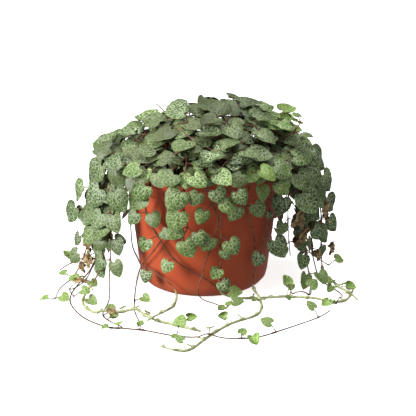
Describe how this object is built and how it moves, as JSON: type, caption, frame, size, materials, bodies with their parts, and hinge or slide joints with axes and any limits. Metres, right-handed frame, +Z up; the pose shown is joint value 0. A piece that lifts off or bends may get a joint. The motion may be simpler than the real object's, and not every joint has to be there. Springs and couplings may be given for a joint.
{
  "type": "potted string of hearts plant",
  "caption": "Trailing string of hearts plant with marbled heart-shaped leaves on thin stems, mounding over and hanging round a plastic nursery pot of soil, its ends lying on the surface.",
  "frame": {"origin": "middle of the pot's foot, on the surface it stands on", "axes": "+Z up along the pot's axis, -Y towards the front, where the vines trail furthest over the pot's face, +X to the right"},
  "size_m": [0.2218, 0.2241, 0.135],
  "materials": {
    "terracotta_plastic": "satin",
    "potting_soil": "matte",
    "vine_green": "satin",
    "vine_stem": "matte"
  },
  "bodies": {
    "root": {"pot": "terracotta_plastic", "soil": "potting_soil", "vine_back_1": "vine_green", "vine_back_2": "vine_green", "vine_back_3": "vine_green", "vine_back_4": "vine_green", "vine_back_5": "vine_green", "vine_back_6": "vine_green", "vine_crown_1": "vine_green", "vine_crown_10": "vine_green", "vine_crown_11": "vine_green", "vine_crown_12": "vine_green", "vine_crown_13": "vine_green", "vine_crown_14": "vine_green", "vine_crown_15": "vine_green", "vine_crown_16": "vine_green", "vine_crown_17": "vine_green", "vine_crown_18": "vine_green", "vine_crown_19": "vine_green", "vine_crown_2": "vine_green", "vine_crown_20": "vine_green", "vine_crown_21": "vine_green", "vine_crown_22": "vine_green", "vine_crown_23": "vine_green", "vine_crown_24": "vine_green", "vine_crown_25": "vine_green", "vine_crown_26": "vine_green", "vine_crown_27": "vine_green", "vine_crown_28": "vine_green", "vine_crown_3": "vine_green", "vine_crown_4": "vine_green", "vine_crown_5": "vine_green", "vine_crown_6": "vine_green", "vine_crown_7": "vine_green", "vine_crown_8": "vine_green", "vine_crown_9": "vine_green", "vine_front_1": "vine_green", "vine_front_2": "vine_green", "vine_front_3": "vine_green", "vine_front_4": "vine_green", "vine_front_5": "vine_green", "vine_front_6": "vine_green", "vine_front_7": "vine_green", "vine_front_8": "vine_green", "vine_left_1": "vine_green", "vine_left_2": "vine_green", "vine_left_3": "vine_green", "vine_left_4": "vine_green", "vine_left_5": "vine_green", "vine_left_6": "vine_green", "vine_left_7": "vine_green", "vine_left_8": "vine_green", "vine_right_1": "vine_green", "vine_right_2": "vine_green", "vine_right_3": "vine_green", "vine_right_4": "vine_green", "vine_right_5": "vine_green", "vine_right_6": "vine_green"}
  },
  "joints": []
}
